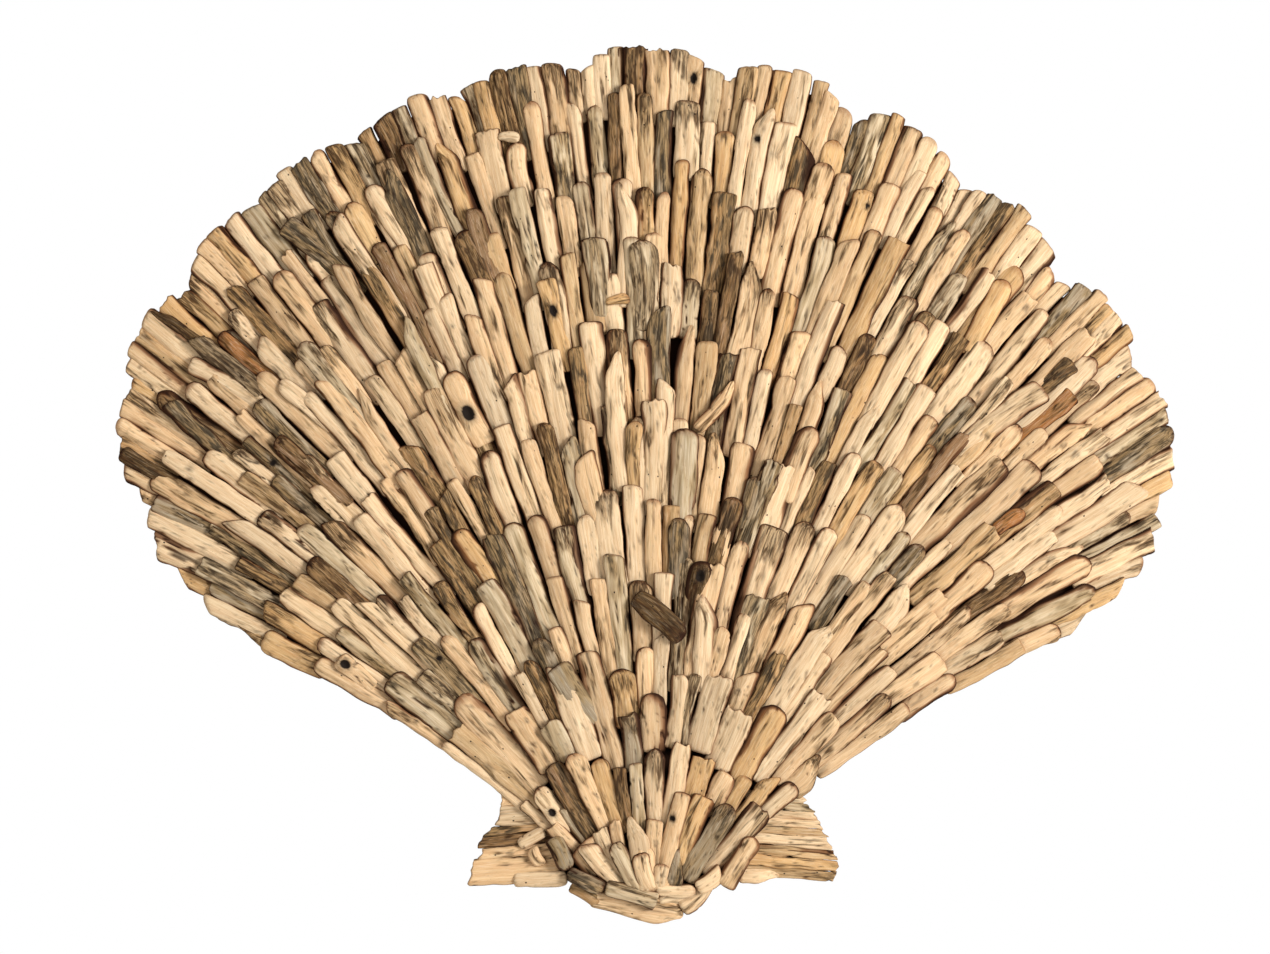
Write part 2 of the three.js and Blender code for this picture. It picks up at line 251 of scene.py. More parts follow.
def rib_foot(angle):
    return FOOT_REACH + FOOT_WAVE * math.sin(angle / FOOT_WAVE_STEP)


def hinge_reach(angle):
    return mix(HINGE_REACH_MIDDLE, HINGE_REACH_SIDE, (angle / RIB_EDGES[-1]) ** 2)


def bed(angle, reach):
    """Height of the bed under the sticks above the board's front."""
    out = clamp(reach / rim_reach(angle), 0, 1)
    aside = min(1.0, abs(angle / RIB_EDGES[-1]))
    inwards = mix(HINGE_SHARE, 1, min(1, reach / CREST_REACH))
    dome = DOME_RISE * (1 - out**DOME_FALL) * (1 - SIDE_LOSS * aside**SIDE_FALL) * inwards
    rib = RIB_RELIEF * (lobe(rib_at(angle)[1]) - RIB_VALLEY) * out**RIB_GROWTH
    return max(LEAST_BED, RIM_BED + dome + rib)


def lay_course(field, roll, line, is_first):
    """The sticks of one course: where they start and end across, and where their tips are."""
    span = (field["right"] - field["left"]) / degrees_across(1, line - field["pitch"] / 2)
    count = max(1, math.floor(span / (field["edge_width"] if is_first else STICK_WIDTH) + 0.5))
    shares = [roll(1 - WIDTH_SCATTER, 1 + WIDTH_SCATTER) for _ in range(count)]
    used, total, sticks = 0.0, sum(shares), []
    for share in shares:
        start = mix(field["left"], field["right"], used / total)
        used += share
        end = mix(field["left"], field["right"], used / total)
        low, high = field["outer"](start), field["outer"](end)
        slant = (high - low) / 2 if is_first else roll(-TIP_SLANT, TIP_SLANT)
        scatter = field["edge_scatter"] if is_first else TIP_SCATTER
        shift = roll(-scatter, scatter)
        edge = (low + high) / 2
        tip = edge + shift if is_first else min(line + shift, edge - RIM_SHOW)
        sticks.append({"from": start, "to": end, "slant": slant, "tip": tip, "lift": roll(-1, 1)})
    return sticks


def lay_sticks(field):
    """Every stick of one field of the fan, course by course from its outer line inwards."""
    roll = dice(field["seed"])
    end = field["inner"]((field["left"] + field["right"]) / 2) + SHORTEST_COURSE
    courses, line = [], field["crest"]
    while line > end:
        courses.append(lay_course(field, roll, line, not courses))
        line -= field["pitch"] if len(courses) > 1 else field["edge_pitch"]
    for c, course in enumerate(courses):
        following = courses[c + 1] if c + 1 < len(courses) else []
        for stick in course:
            covers = [o for o in following if o["to"] > stick["from"] and o["from"] < stick["to"]]
            foot = max(field["inner"](stick["from"]), field["inner"](stick["to"]))
            hidden = [o["tip"] - abs(o["slant"]) - TAIL_COVER for o in covers]
            stick["tail"] = max(min(hidden), foot) if covers else foot
            stick["course"] = c
            stick["open_tail"] = not covers or min(hidden) < foot
    return [s for course in courses for s in course if s["tip"] > s["tail"] + SHORTEST_STICK]


def rib_field(rib):
    return {
        "seed": 977 + 131 * rib,
        "left": RIB_EDGES[rib],
        "right": RIB_EDGES[rib + 1],
        "crest": LOBE_REACH[rib],
        "outer": rim_reach,
        "edge_width": RIM_STICK_WIDTH,
        "edge_scatter": RIM_SCATTER,
        "edge_pitch": RIM_PITCH,
        "pitch": COURSE_PITCH,
        "inner": rib_foot,
    }


HINGE_FIELD = {
    "seed": 4211,
    "left": RIB_EDGES[0],
    "right": RIB_EDGES[-1],
    "crest": FOOT_REACH,
    "outer": lambda angle: rib_foot(angle) - FOOT_GAP,
    "edge_width": STICK_WIDTH,
    "edge_scatter": 0.0,
    "edge_pitch": HINGE_PITCH,
    "pitch": HINGE_PITCH,
    "inner": hinge_reach,
}

# Noise on a lattice of seeded random numbers
LATTICE_SIZE = 4096
LATTICE = np.random.RandomState(20).uniform(-1, 1, LATTICE_SIZE)
HASH_PRIMES = (73856093, 19349663)
HASH_SEED_STEP = 2654435


def noise(x, y, seed):
    """Smooth noise from -1 to 1 with cells of one unit."""
    places = np.broadcast_arrays(x, y)
    cells = [np.floor(v).astype(np.int64) for v in places]
    shares = [smooth(v - c, 0.0, 1.0) for v, c in zip(places, cells)]
    total = np.zeros(places[0].shape)
    for steps in ((0, 0), (1, 0), (0, 1), (1, 1)):
        key = seed * HASH_SEED_STEP
        weight = 1.0
        for step, cell, share, prime in zip(steps, cells, shares, HASH_PRIMES):
            key = key ^ ((cell + step) * prime)
            weight = weight * (share if step else 1 - share)
        total += weight * LATTICE[key & (LATTICE_SIZE - 1)]
    return total


def linear(hex_colour):
    """The linear red, green and blue of a colour written as on the web."""
    channels = [int(hex_colour[i : i + 2], 16) / 255 for i in (1, 3, 5)]
    return np.array([c / 12.92 if c <= 0.04045 else ((c + 0.055) / 1.055) ** 2.4 for c in channels])


# Mesh of one stick, in millimetres: points across its upper side and its underside, and rings along it
TOP_POINTS = 20
UNDER_POINTS = 6
RING = TOP_POINTS + UNDER_POINTS
TAIL_RINGS = 3
BODY_RINGS = 22
TIP_RINGS = 8
LAST_RING_ANGLE = 87  # degrees round a rounded end, just short of its end point

# Ends and section
TAIL_ROUND = 3.0
TAIL_POWER = 2.6
MOST_TAIL_ROUND = 0.2  # share of the length
MOST_TIP_ROUND = 0.45
POINT_POWER = 1.3
SLANT_LENGTH = 14
TEAR_LENGTH = 3
UPPER_OF_THICKNESS = 0.46
UPPER_OF_HALF_WIDTH = 0.62
UNDER_SQUARENESS = 3.0

# Relief. Its noise is stretched along the stick: what x and y are divided by is the size of its cells
SIDE_WAVE = 0.09  # share of the half width
SIDE_BUMPS = 0.5
LUMPS = 0.75
RIDGES = 0.42
FINE_RIDGES = 0.22
CRACK_DEPTH = 0.9
PIT_DEPTH = 0.45
UNDER_RELIEF = 0.35
RELIEF_CENTRE = 0.2  # share of the thickness below the crest, from where the relief spreads out
KNOT_LENGTH = 1.35  # a knot's length as a share of its width
KNOT_RISE = 0.8
HOLE_LIP = 0.9
HOLE_DEPTH = 1.8

# Dark sides, mostly painted shade in the gaps between the sticks and partly their own weathering: how far
# below the crest they start and where they are darkest. The darker tip ends are the wood's own browned ends.
SIDE_SHADE_START = 1.35
SIDE_SHADE_FULL = 3.3
UNDER_EDGE = 0.4
TIP_EDGE = 0.4
TIP_EDGE_LENGTH = 0.9  # share of the tip's rounding
MOST_KNOT_DARK = 1.6
GRAIN_SPREAD = 900  # each stick is cut from another place in the grain


def ring_profile():
    """Across position from -1 to 1 round one section, and which points are on its upper side."""
    t = np.linspace(1, -1, TOP_POINTS)
    upper = 0.55 * np.sin(t * math.pi / 2) + 0.45 * t
    t = np.linspace(-1, 1, UNDER_POINTS + 2)[1:-1]
    return np.concatenate([upper, np.sin(t * math.pi / 2)]), np.arange(RING) < TOP_POINTS


PROFILE, IS_TOP = ring_profile()


def end_rings(count, power):
    """How far along a rounded end and how wide it is there, both from 0 to 1."""
    t = np.linspace(0, math.pi / 2, count + 1)[1:]
    t[-1] = math.radians(LAST_RING_ANGLE)
    return np.sin(t) ** (2 / power), np.cos(t) ** (2 / power)


def stick_rings(stick, tip_round):
    """Where each ring is along a stick, how far the rounded ends shrink it, and half its width."""
    length, width = stick["length"], stick["width"]
    tail_round = min(TAIL_ROUND, MOST_TAIL_ROUND * length)
    out, shrink = end_rings(TIP_RINGS, stick["tip_power"])
    tail_out, tail_shrink = end_rings(TAIL_RINGS, TAIL_POWER)
    along = np.concatenate([
        tail_round * (1 - tail_out[::-1]),
        np.linspace(tail_round, length - tip_round, BODY_RINGS),
        length - tip_round + tip_round * out,
    ])
    scale = np.concatenate([tail_shrink[::-1], np.ones(BODY_RINGS), shrink])
    half = np.interp(along / length, [0, 1], [width * stick["tail_share"] / 2, width / 2])
    half *= 1 + SIDE_WAVE * noise(along / 13, 0.5, stick["seed"])
    if stick["point"]:
        pointed = smooth(along, length - stick["point"], length) ** POINT_POWER
        half *= 1 - (1 - stick["point_width"]) * pointed
    return along, scale, half


def squared(squareness):
    """Height of a rounded section over each point across it, squarer for a higher squareness."""
    return (1 - np.abs(PROFILE) ** squareness) ** (1 / squareness)


def wood_surface(stick, x, y):
    """How far lumps, ridges, cracks and pits stand off a stick, and how deep in a crack or pit it is, for
    painted shade there.
    """
    seed, worn = stick["seed"], stick["worn"]
    lumps = LUMPS * noise(x / 7, y / 15, seed + 2)
    ridges = worn * (RIDGES * noise(x / 1.9, y / 26, seed + 3) + FINE_RIDGES * noise(x, y / 12, seed + 4))
    crack_line = np.abs(noise(x / 3.1, y / 45, seed + 5))
    cracked = smooth(noise(x / 9, y / 20, seed + 6), 0.05, 0.35)
    crack = worn * (1 - smooth(crack_line, 0.0, 0.09)) * cracked
    pits = smooth(noise(x / 1.3, y / 2.6, seed + 7), 0.62, 0.9) * worn
    return lumps + ridges - CRACK_DEPTH * crack - PIT_DEPTH * pits, np.clip(0.9 * crack + 0.6 * pits, 0, 1)


def knot_surface(stick, x, y):
    """How far knots and holes stand off a stick, how dark they are (knots by their own colour, holes by
    painted shade), and how the grain flows round them.
    """
    raised, dark, flow = (np.zeros_like(x) for _ in range(3))
    for knot_x, knot_y, radius, is_hole in stick["knots"]:
        dx, dy = (x - knot_x) / radius, (y - knot_y) / (KNOT_LENGTH * radius)
        gap = np.sqrt(dx * dx + dy * dy)
        flow += radius * 1.1 * np.sign(dx) * np.exp(-gap * gap / 3.0) * np.minimum(1, np.abs(dx) * 2)
        if is_hole:
            lip = HOLE_LIP * np.exp(-((gap - 1.25) / 0.5) ** 2)
            raised += lip - HOLE_DEPTH * (1 - smooth(gap, 0.35, 1.05))
            # painted shade inside the hole
            dark += MOST_KNOT_DARK * (1 - smooth(gap, 0.55, 1.15)) + 0.35 * (1 - smooth(gap, 1.0, 2.0))
        else:
            raised += KNOT_RISE * np.exp(-gap * gap)
            dark += 0.75 * (1 - smooth(gap, 0.6, 1.2)) * (0.7 + 0.3 * np.cos(gap * 16))
    return raised, dark, flow


def with_ends(values):
    """The values of every point in one list, then the means of the first and the last ring."""
    flat = values.reshape(-1, 3)
    return np.vstack([flat, flat[:RING].mean(0), flat[-RING:].mean(0)])


def own_grain(grain, seed):
    """The grain turned about the stick's length and moved to a place of its own."""
    rng = np.random.RandomState(seed)
    turn = rng.uniform(-0.6, 0.6)
    grain_x = grain[:, 0] * math.cos(turn) - grain[:, 2] * math.sin(turn)
    grain_z = grain[:, 0] * math.sin(turn) + grain[:, 2] * math.cos(turn)
    return np.stack([grain_x, grain[:, 1], grain_z], axis=-1) + rng.uniform(0, GRAIN_SPREAD, 3)


def stick_faces(rings):
    """Quads between the rings, and the triangles round the two end points, which come last."""
    rows = (np.arange(rings - 1) * RING)[:, None]
    around = np.arange(RING)
    beyond = (around + 1) % RING
    first, beside = rows + around, rows + beyond
    quads = np.stack([first, first + RING, beside + RING, beside], axis=-1).reshape(-1, 4)
    tail_pole, tip_pole, last = rings * RING, rings * RING + 1, (rings - 1) * RING
    tail_cap = np.stack([np.full(RING, tail_pole), around, beyond], axis=-1)
    tip_cap = np.stack([np.full(RING, tip_pole), last + beyond, last + around], axis=-1)
    return quads, np.vstack([tail_cap, tip_cap])


def section_heights(stick, upper, scale):
    """Height of each point of each ring over the line between the stick's two sides."""
    lower = stick["thickness"] - upper
    top = squared(stick["squareness"])
    z = np.where(IS_TOP, np.outer(upper * scale, top), np.outer(lower * scale, -squared(UNDER_SQUARENESS)))
    facet = -stick["facet"] * np.abs(PROFILE - stick["facet_at"])
    return z + np.where(IS_TOP, facet * top, 0) * scale[:, None]


def stick_mesh(stick):
    """A stick lying along +y from its tail at 0, crest at z = 0: points, faces, grain and marks."""
    length, seed, thickness = stick["length"], stick["seed"], stick["thickness"]
    tip_round = min(stick["tip_round"], MOST_TIP_ROUND * length)
    along, scale, half = stick_rings(stick, tip_round)
    upper = np.minimum(UPPER_OF_THICKNESS * thickness, UPPER_OF_HALF_WIDTH * half)

    x = np.outer(half * scale, PROFILE)
    y = np.repeat(along[:, None], RING, axis=1)
    z = section_heights(stick, upper, scale)
    side = np.repeat(PROFILE[None, :], len(along), axis=0)
    tip_edge = smooth(y, length - tip_round * TIP_EDGE_LENGTH, length)
    x += np.sign(side) * np.abs(side) ** 4 * SIDE_BUMPS * noise(y / 8, np.sign(side) * 9.5, seed + 1)

    surface, hollow_shade = wood_surface(stick, x, y)
    raised, knot_colour_and_hole_shade, flow = knot_surface(stick, x, y)
    relief = (surface + raised) * np.minimum(1, scale * 2)[:, None]
    radial_z = z + RELIEF_CENTRE * thickness
    size = np.maximum(np.hypot(x, radial_z), 1e-6)
    upper_side = np.where(IS_TOP, 1.0, UNDER_RELIEF)
    x, z = x + relief * x / size * upper_side, z + relief * radial_z / size * upper_side

    # The tip is slanted and torn
    y = y + smooth(y, length - tip_round - SLANT_LENGTH, length) * stick["slant"] * side * scale[:, None]
    torn = 0.5 + 0.5 * noise(x / 2.4, 3.5, seed + 8)
    y = y - smooth(y, length - tip_round - TEAR_LENGTH, length) * stick["tear"] * torn

    # The finish keeps to the straight stick, which then leans and bends
    grain = np.stack([x + flow, y, z], axis=-1)
    below = upper[:, None] - z
    x = x + stick["lean"] * smooth(y, length - max(stick["point"], 1.0), length)
    bow = 4 * along / length * (1 - along / length)
    x = x + (bow * stick["bend"])[:, None]
    z = z + (bow * stick["bow"])[:, None] - upper.mean()

    points = with_ends(np.stack([x, y, z], axis=-1))
    points[-2, 1] -= 0.1
    # Painted shade: the sides darken with depth below the crest, into the gaps between the sticks, and less
    # near the tip of a rim stick, which has no neighbour there. The darker tip end is the wood's own.
    edge = smooth(below, SIDE_SHADE_START, SIDE_SHADE_FULL) * (1 - stick["rim_shade_lift"] * tip_edge)
    edge = np.maximum(edge, tip_edge * stick["end_dark"] * TIP_EDGE) * np.where(IS_TOP, 1.0, UNDER_EDGE)
    edge *= stick["side_shade"]
    marks = np.stack([hollow_shade, np.clip(knot_colour_and_hole_shade, 0, MOST_KNOT_DARK), np.clip(edge, 0, 1)], axis=-1)
    return points, *stick_faces(len(along)), own_grain(with_ends(grain), seed), with_ends(marks)


def place_stick(points, stick):
    """Roll the stick about its length, then lay it from its tail to its tip."""
    roll, middle = math.radians(stick["roll"]), stick["thickness"] / 2
    x, y, z = points[:, 0], points[:, 1], points[:, 2] + middle
    x, z = x * math.cos(roll) + z * math.sin(roll), -x * math.sin(roll) + z * math.cos(roll) - middle
    tail, tip = np.array(stick["tail_at"]), np.array(stick["tip_at"])
    run = math.hypot(*(tip - tail))
    forward = (tip - tail) / run
    right = np.array([forward[1], -forward[0]])
    plan = tail + np.outer(y * run / stick["length"], forward) + np.outer(x, right)
    height = mix(stick["tail_top"], stick["tip_top"], y / stick["length"]) + z
    return np.stack([plan[:, 0], -height, plan[:, 1]], axis=-1) * MM


def new_mesh(name, points, quads, triangles):
    mesh = bpy.data.meshes.new(name)
    mesh.vertices.add(len(points))
    mesh.vertices.foreach_set("co", points.astype(np.float32).ravel())
    corners = np.concatenate([quads.ravel(), triangles.ravel()]).astype(np.int32)
    mesh.loops.add(len(corners))
    mesh.loops.foreach_set("vertex_index", corners)
    starts = np.concatenate([np.arange(len(quads)) * 4, len(quads) * 4 + np.arange(len(triangles)) * 3])
    mesh.polygons.add(len(starts))
    mesh.polygons.foreach_set("loop_start", starts.astype(np.int32))
    mesh.update(calc_edges=True)
    mesh.validate()
    mesh.shade_smooth()
    return mesh


def make_piece(name, sticks, slot_name, material):
    """One mesh of several sticks, with what the finish needs at each point."""
    columns = {key: [] for key in ("points", "quads", "triangles", "grain", "marks", "weather", "tone")}
    count = 0
    for stick in sticks:
        points, quads, triangles, grain, marks = stick_mesh(stick)
        weather = np.tile([stick["grey"], stick["streaks"], stick["worms"]], (len(points), 1))
        weather[:, 1] += stick["dark_tip"] * smooth(points[:, 1] / stick["length"], 0.5, 0.95)
        tone = np.tile(np.append(stick["colour"], 1.0), (len(points), 1))
        placed = place_stick(points, stick)
        rows = (placed, quads + count, triangles + count, grain, marks, weather, tone)
        for column, values in zip(columns.values(), rows):
            column.append(values)
        count += len(points)
    joined = {key: np.vstack(column) for key, column in columns.items()}
    mesh = new_mesh(name, joined["points"], joined["quads"], joined["triangles"])
    for key, kind, field in (
        ("grain", "FLOAT_VECTOR", "vector"),
        ("marks", "FLOAT_VECTOR", "vector"),
        ("weather", "FLOAT_VECTOR", "vector"),
        ("tone", "FLOAT_COLOR", "color"),
    ):
        attribute = mesh.attributes.new(key, kind, "POINT")
        attribute.data.foreach_set(field, joined[key].astype(np.float32).ravel())
    mesh.materials.append(material)
    piece = bpy.data.objects.new(name, mesh)
    bpy.context.scene.collection.objects.link(piece)
    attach(piece, "root")
    return piece


# Kinds of tip: share of the sticks, rounding in stick widths, how square the rounding is
TIPS = {
    "round": (0.42, 0.50, 2.3),
    "blunt": (0.28, 0.22, 2.8),
    "slanted": (0.10, 0.25, 2.6),
    "broken": (0.12, 0.10, 3.2),
    "pointed": (0.05, 0.40, 2.2),
}
RIM_TIPS = ("round", "blunt", "blunt", "blunt", "broken")
RIGHT_CLEAN_AND_LIT = 0.45  # how much of the dark streaks is gone at the right rim, partly the sticks' own cleaner wood and partly painted light on the lit right side
HAS_KNOT = 0.1  # share of the sticks
KNOT_IS_HOLE = 0.2
POINT_LEAN = 0.24  # how far a pointed tip stands aside, in stick widths


def pick(rng, shares):
    shares = np.maximum(np.array(list(shares.values())), 0)
    return rng.choice(len(shares), p=shares / shares.sum())


def pick_tone(rng, aside):
    shares = {name: row[1] * (1 + row[2] * aside) for name, row in TONES.items()}
    return list(TONES)[pick(rng, shares)]


# What the entries of a stick say, beside its sizes in millimetres. Grey, streaks and worms are how weathered
# it is, and worn is how deep its ridges, cracks and pits are. The section falls off by facet from its crest,
# at facet_at. Slant, tear, point and lean shape the tip. The entry for dark sides is how strong their painted
# shade is, in the gaps between sticks and partly their own weathering; the rim entry is how much of it is
# left off at a rim stick's tip; end_dark and dark_tip are how dark the tip is. Bend and bow are how far the
# middle stands aside and up.
def look_of(seed, width, length, tone_name=None, tip=None, aside=0.0):
    """A stick's own colour, section, bends, knots and tip. Aside is -1 at the left rim and 1 at the right."""
    rng = np.random.RandomState(seed)
    tone_name = tone_name or pick_tone(rng, aside)
    colour, _, _, grey, streaks = TONES[tone_name]
    tip = tip or list(TIPS)[pick(rng, {name: row[0] for name, row in TIPS.items()})]
    _, rounding, power = TIPS[tip]
    shade = rng.normal(1.0, 0.07)
    warmth = rng.normal(0.005, 0.012)
    # Fewer dark streaks and dark tips towards the right rim: partly the sticks' own cleaner wood, partly
    # painted light on the lit right side.
    dirt_and_shade = 1 - RIGHT_CLEAN_AND_LIT * max(0.0, aside)
    look = {
        "seed": seed,
        "width": width,
        "length": length,
        "colour": np.clip(linear(colour) * shade * np.array([1 + warmth, 1.0, 1 - 1.5 * warmth]), 0, 1),
        "grey": np.clip(grey * rng.uniform(0.4, 1.6), 0, 1),
        "streaks": np.clip(streaks * rng.uniform(0.0, 2.0), 0, 1.3) * dirt_and_shade,
        "worms": rng.choice([0.0, 1.0], p=[0.6, 0.4]),
        "worn": rng.uniform(0.45, 1.1) if grey < 0.3 else rng.uniform(0.9, 1.8),
        "thickness": rng.uniform(8.5, 11.5),
        "squareness": rng.choice([2.2, 2.8, 3.6, 4.6], p=[0.4, 0.35, 0.2, 0.05]),
        "facet": rng.choice([0.0, rng.uniform(0.5, 1.8)], p=[0.45, 0.55]),
        "facet_at": rng.uniform(-0.6, 0.6),
        "tail_share": rng.uniform(0.82, 1.0),
        "tip_round": max(1.5, rounding * width * rng.uniform(0.75, 1.3)),
        "tip_power": power,
        "slant": (
            rng.uniform(0.2, 0.45) * width * rng.choice([-1, 1]) if tip == "slanted" else rng.normal(0, 0.7)
        ),
        "tear": rng.uniform(2.5, 5.5) if tip == "broken" else rng.uniform(0.1, 0.9),
        "point": rng.uniform(16, 26) if tip == "pointed" else rng.choice([0.0, 9.0]),
        "point_width": 0.32 if tip == "pointed" else 0.82,
        "lean": 0.0,
        "side_shade": 1.0,
        "rim_shade_lift": 0.0,
        "end_dark": rng.uniform(0.2, 1.0),
        "dark_tip": rng.choice([0.0, 1.2], p=[0.86, 0.14]) * dirt_and_shade**2,
        "bend": rng.normal(0, 0.9),
        "bow": rng.normal(0.3, 0.5),
        "roll": rng.normal(0, 7),
        "knots": [],
    }
    if tip == "pointed":
        look["lean"] = math.copysign(POINT_LEAN * width, look["facet_at"])
    if rng.uniform() < HAS_KNOT:
        at = (rng.uniform(-0.25, 0.25) * width, rng.uniform(0.45, 0.85) * length)
        look["knots"].append((*at, rng.uniform(1.4, 2.8), rng.uniform() < KNOT_IS_HOLE))
    return look


def retone(stick, tone_name):
    colour, _, _, grey, streaks = TONES[tone_name]
    stick.update(colour=linear(colour), grey=grey, streaks=streaks)


# How loosely the fan's sticks are laid, in millimetres and degrees
SHIFT = 0.5
SWING = 1.3
RIM_SWING = 0.8
RIM_WIDENING = 1.8
RIM_SLANT = 0.45
RIM_POINT_WIDTH = 0.92
RIM_SHADE_LIFT = 0.7
RIM_GAP = 0.5  # between a rim stick and the board
SHOWN_MIDDLE = 0.4  # share of a stick's length from its tip to the middle of what is seen of it


def swung(tail, tip, swing):
    """Both ends of a line turned about its middle."""
    run, centre = tip - tail, (tail + tip) / 2
    turned = np.array([
        run[0] * math.cos(swing) - run[1] * math.sin(swing),
        run[0] * math.sin(swing) + run[1] * math.cos(swing),
    ])
    return centre - turned / 2, centre + turned / 2


def fan_sticks(field, tag):
    """The sticks of one field, each in its own place with a look of its own."""
    sticks = []
    for number, slot in enumerate(lay_sticks(field)):
        seed = tag * 1000 + number * 7 + 11
        rng = np.random.RandomState(seed + 5)
        middle = (slot["from"] + slot["to"]) / 2
        tail_reach = slot["tail"] - (TAIL_COVER if slot["open_tail"] else 0)
        tail, tip = fan_point(middle, tail_reach), fan_point(middle, slot["tip"])
        width = (slot["to"] - slot["from"]) / degrees_across(1, mix(slot["tail"], slot["tip"], 0.75))
        is_rim = slot["course"] == 0 and field is not HINGE_FIELD
        shift = rng.normal(0, SHIFT, 2)
        swing = math.radians(rng.normal(0, RIM_SWING if is_rim else SWING))
        length = math.hypot(*(tip - tail))
        tail, tip = (end + shift for end in swung(tail, tip, swing))
        tip_kind = rng.choice(RIM_TIPS) if is_rim else None
        aside = tip[0] / (cad_box[1][0] / MM)
        width = width * rng.uniform(0.96, 1.06) + is_rim * RIM_WIDENING
        stick = look_of(seed, width, length, None, tip_kind, aside)
        if is_rim:
            stick["slant"] = RIM_SLANT * slot["slant"] + rng.normal(0, 0.8)
            stick["point_width"] = RIM_POINT_WIDTH
            stick["rim_shade_lift"] = RIM_SHADE_LIFT
        elif stick["slant"] * slot["slant"] < 0:
            stick["slant"] *= -1
        shown = mix(tip, tail, SHOWN_MIDDLE)
        stick["photo_at"] = PHOTO_ORIGIN[0] + shown[0] / PIXEL, PHOTO_ORIGIN[1] - shown[1] / PIXEL
        stick["tail_at"], stick["tip_at"] = tail, tip
        stick["tail_top"] = BOARD_THICKNESS + bed(middle, slot["tail"]) + TAIL_RISE
        rise = TIP_RISE + slot["lift"] * RISE_SCATTER
        stick["tip_top"] = BOARD_THICKNESS + bed(middle, slot["tip"]) + rise
        if is_rim:
            stick["thickness"] = stick["tip_top"] - BOARD_THICKNESS - RIM_GAP
        sticks.append(stick)
    return sticks


def node_at(node):
    low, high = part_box(node)
    return -low.y / MM, -high.y / MM


def loose_stick(row, unit, base):
    """A stick that lies by itself on the hinge or an ear, between the heights of its CAD node."""
    node, start, end, width, tone_name = row
    tail, tip = (np.array([x * unit, base + y * unit]) for x, y in (start, end))
    top, under = node_at(node)
    seed = sum(map(ord, node)) * 13
    stick = look_of(seed, width, math.hypot(*(tip - tail)), tone_name)
    stick.update(tail_at=tail, tip_at=tip, tail_top=top, tip_top=top, thickness=top - under, tail_share=0.9)
    stick["slant"] *= 0.5
    stick["tear"] = min(stick["tear"], 1.5)
    stick["side_shade"] = 0.7
    # The bottom stick is a plate that narrows to both ends
    if node == "hinge_bottom_stick":
        stick.update(tail_share=0.45, point=26.0, point_width=0.35, worn=0.6)
    return stick


def ear_strip(side, number, top):
    """A strip of an ear, under its CAD node's top. Its end slants as far as its neighbours are longer."""
    sign = -1 if side == "left" else 1
    widths, lengths = EAR_STRIPS[side]
    width, length = widths[number - 1], lengths[number - 1]
    outwards = lengths[min(number, len(lengths) - 1)] - lengths[max(number - 2, 0)]
    high, low = node_at(f"{side}_ear_strip_{number}")
    middle = top - width / 2
    tail, tip = (
        np.array([sign * (EAR_STRIP_INNER + out), middle + EAR_SLOPE * (lengths[0] - out)])
        for out in (EAR_STRIP_HIDDEN, length)
    )
    seed = EAR_SEED + 100 * number + (50 if sign > 0 else 0)
    tone_name = EAR_TONES[side][number - 1]
    stick = look_of(seed, width * EAR_STRIP_OVERLAP, math.hypot(*(tip - tail)), tone_name, "broken")
    stick.update(tail_at=tail, tip_at=tip, tail_top=high, tip_top=high, thickness=high - low, roll=0.0)
    stick.update(worn=1.5, squareness=3.6, tail_share=1.0, bend=0.0, point=0.0, dark_tip=0.0)
    stick["slant"] = sign * outwards / 2
    stick["streaks"] *= 0.5 if side == "right" else 1.0
    return stick


def rgba(hex_colour):
    return (*linear(hex_colour), 1.0)


class Finish:
    """A new material and short ways to make and join its nodes."""

    def __init__(self, name, specular):
        self.material = bpy.data.materials.new(name)
        self.material.use_nodes = True
        self.tree = self.material.node_tree
        self.surface = self.tree.nodes["Principled BSDF"].inputs
        self.surface["Specular IOR Level"].default_value = specular

    def feed(self, value, socket):
        """Join another node's output to a socket, or set the socket to a plain value."""
        if isinstance(value, bpy.types.NodeSocket):
            self.tree.links.new(value, socket)
        else:
            socket.default_value = value

    def new(self, kind, inputs, **settings):
        node = self.tree.nodes.new(f"ShaderNode{kind}")
        for key, value in settings.items():
            setattr(node, key, value)
        for key, value in inputs.items():
            self.feed(value, node.inputs[key])
        return node

    def attribute(self, name, output="Vector"):
        return self.new("Attribute", {}, attribute_name=name).outputs[output]

    def parts(self, vector):
        return self.new("SeparateXYZ", {0: vector}).outputs

    def scaled(self, place, scale):
        return self.new("VectorMath", {0: place, 1: scale}, operation="MULTIPLY").outputs[0]

    def noise(self, place, detail, rough=0.5, distortion=0.0):
        inputs = {"Vector": place, "Scale": 1.0, "Detail": detail}
        return self.new("TexNoise", {**inputs, "Roughness": rough, "Distortion": distortion}).outputs["Fac"]

    def ramp(self, value, low, high):
        inputs = {"Value": value, "From Min": low, "From Max": high}
        return self.new("MapRange", inputs, interpolation_type="SMOOTHSTEP").outputs["Result"]

    def calc(self, operation, a, b):
        return self.new("Math", {0: a, 1: b}, operation=operation, use_clamp=True).outputs[0]

    def times(self, a, b):
        return self.calc("MULTIPLY", a, b)

    def mixed(self, base, colour, share, blend="MIX"):
        return self.new("Mix", {0: share, 6: base, 7: colour}, data_type="RGBA", blend_type=blend).outputs[2]

    def bump(self, height, strength, distance):
        inputs = {"Strength": strength, "Distance": distance * MM, "Height": height}
        self.feed(self.new("Bump", inputs).outputs["Normal"], self.surface["Normal"])


